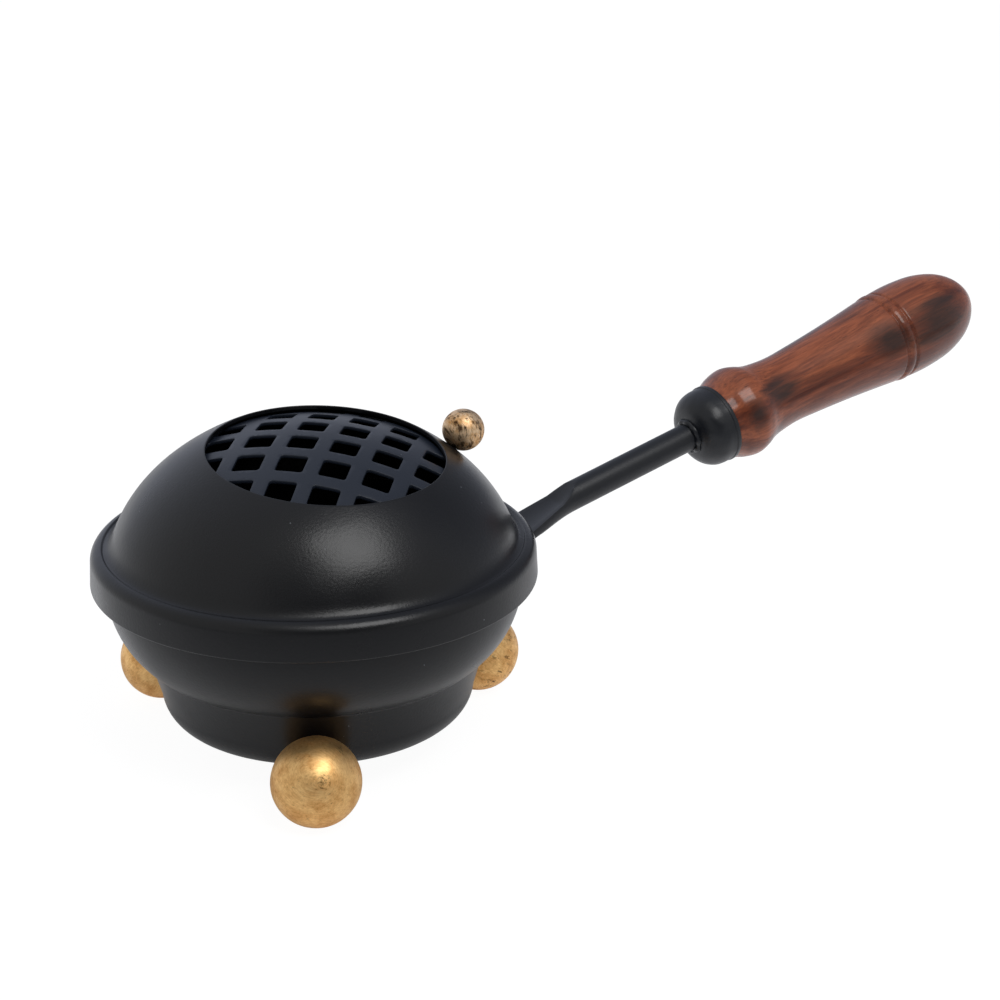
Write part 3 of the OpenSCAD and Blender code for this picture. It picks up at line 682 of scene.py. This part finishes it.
def buildKnob():
    lean = math.asin(lid["openingRadius"] / domeRadius) + ball["knobGap"] / domeRadius
    place = (openingFrame @ Matrix.Rotation(math.radians(ball["knobTurn"]), 4, "Z") @ Matrix.Rotation(lean, 4, "Y")
             @ Matrix.Translation((0, 0, domeRadius + ball["knobRadius"] - ball["knobSeat"])))
    points, faces = roundedCube(ball["steps"])
    middle = place.inverted() @ Vector((0, 0, domeCentre))
    made = []
    for p in points:
        p = hammered(p, ball["knobRadius"], 9.7)
        if (p - middle).length < domeRadius:
            p = middle + (p - middle).normalized() * domeRadius
        made.append(p)
    brass = agedGold("agedGoldKnob", gold["knobWear"], gold["knobColour"], place.translation,
                     towards(*gold["knobAxis"]), 0)
    addPiece("knobBall", made, faces, brass, "lid", "aged_gold", ["knob_ball"], place, 60)


buildFeet()
buildKnob()
print("balls made")


handle = {
    "rodRadius": 4.5, "flatWidth": 14.6, "flatDepth": 4.048, "flatSlope": 0.158,
    "stepSlope": 0.38, "stepStart": 87, "stepLength": 8.5, "stepTop": 1.56, "dish": 0.85, "edgeBevel": 0.3,
    # how far along the section turns from flat to round, in its width, its corners and its height
    "widthTurns": (70, 93), "cornersTurn": (66, 91), "heightTurns": (76, 93), "squareness": 1.4, "crown": 1.1,
    "flatStart": 66, "rodLength": 91.3, "tangLength": 60, "sidePoints": 44, "topPoints": 14,
    "beadRadius": 1.3, "beadRipple": 0.12,
}
handleFrame = Matrix.Translation((0, 0, handleHeight)) @ Matrix.Rotation(math.radians(90 - handleRise), 4, "Y")
gripStart = bowl["radius"] + handle["rodLength"]


def ease(value, start, end):
    t = min(1, max(0, (value - start) / (end - start)))
    return t * t * (3 - 2 * t)


def rodSection(along):
    # one outline of the rod, round or pressed flat, as (down, sideways, along) points
    radius = handle["rodRadius"]
    pressed = 1 - ease(along, handle["stepStart"] - 1, handle["stepStart"] + handle["stepLength"])
    slope = handle["flatSlope"] if along < handle["stepStart"] else handle["stepSlope"]
    top = handle["stepTop"] + (along - handle["stepStart"]) * slope
    flatBottom = handle["stepTop"] + (along - handle["stepStart"]) * handle["flatSlope"] - handle["flatDepth"]
    bottom = min(flatBottom, -radius)
    # the uncut outline stands a crown's height above the pressed face
    rawTop = radius + (top + handle["crown"] - radius) * (1 - ease(along, *handle["heightTurns"]))
    half = radius + (handle["flatWidth"] / 2 - radius) * (1 - ease(along, *handle["widthTurns"]))
    power = 2 / (2 + handle["squareness"] * (1 - ease(along, *handle["cornersTurn"])))
    centre, tall = (rawTop + bottom) / 2, (rawTop - bottom) / 2

    def outline(angle):
        c, n = math.cos(angle), math.sin(angle)
        return (math.copysign(abs(c) ** power, c) * half, centre + math.copysign(abs(n) ** power, n) * tall)

    # the angle where the pressed face cuts the outline, at most 60 degrees up
    cut = seek(math.radians(-60), math.radians(60), lambda a: outline(a)[1] < top - handle["edgeBevel"])
    points = []
    for k in range(handle["sidePoints"] + 1):
        angle = cut - (math.pi + 2 * cut) * k / handle["sidePoints"]
        side, up = outline(angle)
        points.append((side, min(up, top) if along < handle["stepStart"] + 8 else up))
    edgeSide = points[-1][0]
    for k in range(1, handle["topPoints"]):
        t = k / handle["topPoints"]
        side = (edgeSide + handle["edgeBevel"]) * (1 - 2 * t) if pressed > 0.02 else edgeSide * (1 - 2 * t)
        angle = math.pi - cut - (math.pi - 2 * cut) * t
        roundSide, roundUp = outline(angle)
        dish = handle["dish"] * pressed * (1 - (side / half) ** 2)
        if roundUp > top:
            points.append((side, top - dish))
        else:
            points.append((roundSide, roundUp))
    return [Vector((-up, side, along)) for side, up in points]


def toBowl(point):
    # slides a point of the flat end back along the flat until it meets the bowl's outside
    def isOutside(back):
        world = handleFrame @ (point + Vector((handle["flatSlope"] * back, 0, -back)))
        level = min(shoulderCentre[1], world.z)
        wall = shoulderCentre[0] + math.sqrt(bowl["shoulderCurve"] ** 2 - (level - shoulderCentre[1]) ** 2)
        return math.hypot(world.x, world.y) > wall

    back = seek(0.0, 30.0, isOutside)
    return point + Vector((handle["flatSlope"] * back, 0, -back))


def beadAround(name, path, radius, ripple, seed, node):
    # a weld bead: a lumpy tube around a closed path of (point, outward direction) pairs
    rings, along = [], Vector((0, 0, 1))
    for k, (point, out) in enumerate(path):
        lump = 0.25 * noise.noise(point * 0.9 + Vector((seed, 0, 0)))
        swell = radius * (1 + ripple * math.sin(k * 1.15 + seed) + lump)
        rings.append([point + (out * math.cos(a) + along * math.sin(a)) * swell for a in turns(12)])
    return addPiece(name, *skin(rings, loop=True), coatRough, "base", "black_coat", [node], handleFrame, 60)


def buildHandle():
    # close together through the step, and far apart on the round rod
    stations = [handle["flatStart"] + 0.5 * k for k in range(70)] + list(range(101, 140, 4)) + [145, 160, 190]
    stations.append(gripStart + handle["tangLength"] - 0.8)
    body = [rodSection(a) for a in stations]
    end = [toBowl(p) for p in body[0]]
    between = [[p.lerp(q, t) for p, q in zip(end, body[0])] for t in (0.25, 0.5, 0.75)]
    middle = sum(end, Vector()) / len(end)
    tip = [p * 0.85 + Vector((0, 0, p.z * 0.15 + 0.8)) for p in body[-1]]
    rings = [[toBowl(middle + Vector((0, 0, 6)))], end] + between + body
    rings += [tip, [Vector((0, 0, gripStart + handle["tangLength"]))]]
    addPiece("handleRod", *skin(rings), coatRough, "base", "black_coat", ["handle_rod"], handleFrame, 28)
    outward = [((p - middle) * Vector((1, 1, 0))).normalized() for p in end]
    beadAround("bowlBead", [(p + o * 0.35 + Vector((0, 0, 0.3)), o) for p, o in zip(end, outward)],
               handle["beadRadius"], handle["beadRipple"], 1, "handle_weld")


buildHandle()
print("handle made")


collar = {
    "radius": 12.5, "round": 7.4, "band": 3.7, "rim": 0.25, "bore": 4.55, "unevenness": 0.1,
    "beadRadius": 1.1, "beadRipple": 0.16, "segments": 120,
}


def buildCollar():
    face = gripStart - collar["band"] - collar["round"]
    roundCentre = (collar["radius"] - collar["round"], face + collar["round"])
    path = [(collar["bore"], gripStart), (collar["bore"], face)]
    path += arc(roundCentre, collar["round"], -89, 0, 20)
    path += [(collar["radius"], gripStart - 1.5, 0.3), (collar["radius"] + collar["rim"], gripStart - 1.35, 0.2),
             (collar["radius"] + collar["rim"], gripStart, 0.3)]
    rings = [ring(r, z, collar["segments"]) for r, z in softCorners(path)]
    # brush-thick paint: the cap is a little uneven
    rings = [[p + (p * Vector((1, 1, 0))).normalized() * collar["unevenness"] * noise.noise(p * 0.35)
              if p.xy.length > 6 else p for p in points] for points in rings]
    addPiece("collarCap", *skin(rings, loop=True), coatRough, "base", "black_coat", ["collar"], handleFrame, 40)
    spokes = [Vector((math.cos(a), math.sin(a), 0)) for a in turns(48)]
    beadAround("collarBead", [(o * (handle["rodRadius"] + 0.25) + Vector((0, 0, face - 0.05)), o) for o in spokes],
               collar["beadRadius"], collar["beadRipple"], 4, "collar_weld")


buildCollar()
print("collar made")


grip = {
    "length": 110.5, "radius": 15.5, "waist": 11.5, "bulge": 14.9, "grooveDepth": 0.55, "grooveWidth": 0.5,
    "grooves": (0.637, 0.6706), "bead": 0.3, "segments": 128, "stepsBetween": 5,
}


def gripStations():
    # share of the grip's length, and radius
    top, bulge, waist, radius = collar["radius"], grip["bulge"], grip["waist"], grip["radius"]
    return [
        (0.000, top - 0.1), (0.018, top + 0.45), (0.045, bulge - 0.75), (0.081, bulge),
        (0.110, bulge - 0.65), (0.138, waist + 1.55), (0.172, waist + 0.7), (0.244, waist),
        (0.330, waist + 0.42), (0.443, waist + 1.3), (0.535, waist + 2.22),
        (0.640, radius - 0.6), (0.724, radius), (0.805, radius - 0.4), (0.850, radius - 1.25),
        (0.896, radius - 2.9), (0.932, radius - 5.1), (0.959, radius - 7.6),
        (0.980, radius - 10.4), (0.993, radius - 13.2),
    ]


def gripRadius(share, stations):
    # a smooth curve through the stations
    last = len(stations) - 1
    i = max(k for k in range(last) if stations[k][0] <= share or k == 0)
    (x0, y0), (x1, y1) = stations[i], stations[i + 1]
    before, after = stations[max(i - 1, 0)], stations[min(i + 2, last)]
    m0 = (y1 - before[1]) / (x1 - before[0]) * (x1 - x0)
    m1 = (after[1] - y0) / (after[0] - x0) * (x1 - x0)
    t = (share - x0) / (x1 - x0)
    return ((2 * t ** 3 - 3 * t ** 2 + 1) * y0 + (t ** 3 - 2 * t ** 2 + t) * m0
            + (3 * t ** 2 - 2 * t ** 3) * y1 + (t ** 3 - t ** 2) * m1)


def buildGrip():
    stations = gripStations()
    shares = []
    for (x0, _), (x1, _) in zip(stations, stations[1:]):
        shares += [x0 + (x1 - x0) * k / grip["stepsBetween"] for k in range(grip["stepsBetween"])]
    shares.append(stations[-1][0])
    # finer through the grooves
    nearGrooves = [0.618 + 0.0013 * k for k in range(56)]
    shares = sorted([x for x in shares if not 0.617 < x < 0.692] + nearGrooves)
    outline = []
    for x in shares:
        radius = gripRadius(x, stations)
        for groove in grip["grooves"]:
            radius -= grip["grooveDepth"] * math.exp(-(((x - groove) * grip["length"]) / grip["grooveWidth"]) ** 2)
        middle = sum(grip["grooves"]) / 2
        radius += grip["bead"] * math.exp(-(((x - middle) * grip["length"]) / 1.1) ** 2)
        outline.append((radius, gripStart + x * grip["length"]))
    bore, depth = collar["bore"], gripStart + handle["tangLength"] + 1.5
    path = [(0, depth), (bore, depth), (bore, gripStart), (outline[0][0], gripStart, 0.2)] + outline[1:]
    path += [(0.9, gripStart + grip["length"] * 0.9985), (0, gripStart + grip["length"])]
    rings = [ring(r, z, grip["segments"]) for r, z in softCorners(path)]
    addPiece("woodGrip", *skin(rings), woodLacquer, "base", "turned_wood", ["grip"], handleFrame, 50)


buildGrip()
print("grip made")

for name, material in (("foot_screws", zincSteel), ("foot_washers", zincSteel), ("knob_screw", zincSteel),
                       ("knob_washer", zincSteel), ("grille_tacks", coatRough)):
    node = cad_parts[name]
    if node.data.materials:
        node.data.materials[0] = material
    else:
        node.data.materials.append(material)
print("hidden fixings finished")


studio = {
    "floorHalf": 4, "floorColour": "#606060", "floorGlow": 0.95, "tableColour": "#f4f4f4",
    "tableShade": "#b4b4b4", "tableGlow": 0.28, "tableFadeTurn": -110, "tableFade": (-0.1, 0.25),
    "surround": 0.56, "backGlow": 0.1, "frontShade": 0.46, "sideShade": 0.3, "windowTint": (0.88, 0.94, 1.12, 1),
    # turn, rise and width in degrees of each soft patch of the surround
    "backPatch": (97, 10, 75), "frontPatch": (-112, 30, 42), "sidePatch": (25, 30, 50), "windowPatch": (45, 25, 95),
    "softBoxTurn": -86, "softBoxRise": 58, "softBoxDistance": 1.25, "softBoxSize": (0.66, 0.64), "softBoxGlow": 4.7,
}


def buildStudio():
    def level(name, z, colour, glow):
        half = studio["floorHalf"]
        mesh = bpy.data.meshes.new(name)
        corners = [(-half, -half, z), (half, -half, z), (half, half, z), (-half, half, z)]
        mesh.from_pydata(corners, [], [(0, 1, 2, 3)])
        made = bpy.data.objects.new(name, mesh)
        bpy.context.scene.collection.objects.link(made)
        material, _, _, _ = startMaterial(name, {
            "Base Color": hexColour(colour), "Roughness": 0.95, "Specular IOR Level": 0.1,
            "Emission Color": (1, 1, 1, 1), "Emission Strength": glow,
        })
        mesh.materials.append(material)
        return made

    # a back-lit white paper floor that is only seen, and the table below it that the object mirrors
    paper = level("paperFloor", 0, studio["floorColour"], studio["floorGlow"])
    paper.visible_diffuse = paper.visible_glossy = paper.visible_shadow = False
    table = level("tableTop", -0.2 * mm, studio["tableColour"], 0)
    table.visible_camera = False
    # painted shade and light: the table's front half is painted darker and its back half glows, since the front gets
    # less of the light
    tree = table.data.materials[0].node_tree
    place = addNode(tree, "TexCoord").outputs["Object"]
    ahead = addNode(tree, "VectorMath", {"operation": "DOT_PRODUCT", 1: towards(studio["tableFadeTurn"], 0)},
                    {0: place})
    start, end = studio["tableFade"]
    share = addNode(tree, "MapRange", {1: start, 2: end, 3: 0.0, 4: 1.0}, {0: ahead.outputs["Value"]})
    tint = addNode(tree, "Mix", {"data_type": "RGBA", 6: hexColour(studio["tableColour"]),
                                 7: hexColour(studio["tableShade"])}, {0: share.outputs[0]})
    glow = addNode(tree, "MapRange", {1: 0.0, 2: 1.0, 3: studio["tableGlow"], 4: 0.0}, {0: share.outputs[0]})
    joinSurface(tree, tree.nodes["Principled BSDF"],
                {"Base Color": tint.outputs[2], "Emission Strength": glow.outputs[0]})

    world = bpy.data.worlds.new("studioSurround")
    bpy.context.scene.world = world
    world.use_nodes = True
    tree = world.node_tree
    direction = addNode(tree, "TexCoord").outputs["Generated"]

    def blob(turn, rise, wide):
        # 1 at the direction, falling to 0 at wide degrees from it
        near = addNode(tree, "VectorMath", {"operation": "DOT_PRODUCT", 1: towards(turn, rise)}, {0: direction})
        return addNode(tree, "MapRange", {"interpolation_type": "SMOOTHSTEP", 1: math.cos(math.radians(wide)), 2: 1},
                       {0: near.outputs["Value"]})

    back = addNode(tree, "Math", {"operation": "MULTIPLY_ADD", 1: studio["backGlow"], 2: studio["surround"]},
                   {0: blob(*studio["backPatch"]).outputs[0]})
    front = addNode(tree, "Math", {"operation": "MULTIPLY_ADD", 1: -studio["frontShade"]},
                    {0: blob(*studio["frontPatch"]).outputs[0], 2: back.outputs[0]})
    shaded = addNode(tree, "Math", {"operation": "MULTIPLY_ADD", "use_clamp": True, 1: -studio["sideShade"]},
                     {0: blob(*studio["sidePatch"]).outputs[0], 2: front.outputs[0]})
    # cooler light from a window on the handle's side
    tint = addNode(tree, "Mix", {"data_type": "RGBA", 6: (1, 1, 1, 1), 7: studio["windowTint"]},
                   {0: blob(*studio["windowPatch"]).outputs[0]})
    tree.links.new(tint.outputs[2], tree.nodes["Background"].inputs["Color"])
    tree.links.new(shaded.outputs[0], tree.nodes["Background"].inputs["Strength"])

    light = bpy.data.lights.new("softBox", "AREA")
    light.shape = "RECTANGLE"
    light.size, light.size_y = studio["softBoxSize"]
    # an area light's watts for a given brightness of its face
    light.energy = studio["softBoxGlow"] * math.pi * light.size * light.size_y
    box = bpy.data.objects.new("softBox", light)
    bpy.context.scene.collection.objects.link(box)
    out = towards(studio["softBoxTurn"], studio["softBoxRise"])
    box.location = out * studio["softBoxDistance"]
    box.rotation_mode = "QUATERNION"
    box.rotation_quaternion = out.to_track_quat("Z", "Y")
    box.visible_camera = False


buildStudio()


view = {
    "place": (-0.27503, -0.50853, 0.28856), "turn": 33.67, "pitch": 20.517, "roll": 0.136, "lens": 77.79,
}


def buildCamera():
    turn, pitch, roll = (math.radians(view[n]) for n in ("turn", "pitch", "roll"))
    ahead = Vector((math.sin(turn) * math.cos(pitch), math.cos(turn) * math.cos(pitch), -math.sin(pitch)))
    level = ahead.cross(Vector((0, 0, 1))).normalized()
    right = level * math.cos(roll) + level.cross(ahead) * math.sin(roll)
    up = right.cross(ahead)
    data = bpy.data.cameras.new("viewCamera")
    data.lens, data.sensor_width = view["lens"], 36
    data.clip_start, data.clip_end = 0.01, 30
    camera = bpy.data.objects.new("viewCamera", data)
    bpy.context.scene.collection.objects.link(camera)
    camera.matrix_world = Matrix.Translation(view["place"]) @ Matrix((right, up, -ahead)).transposed().to_4x4()
    bpy.context.scene.camera = camera


buildCamera()
bpy.context.scene.view_settings.view_transform = "Standard"
print("studio and camera set")
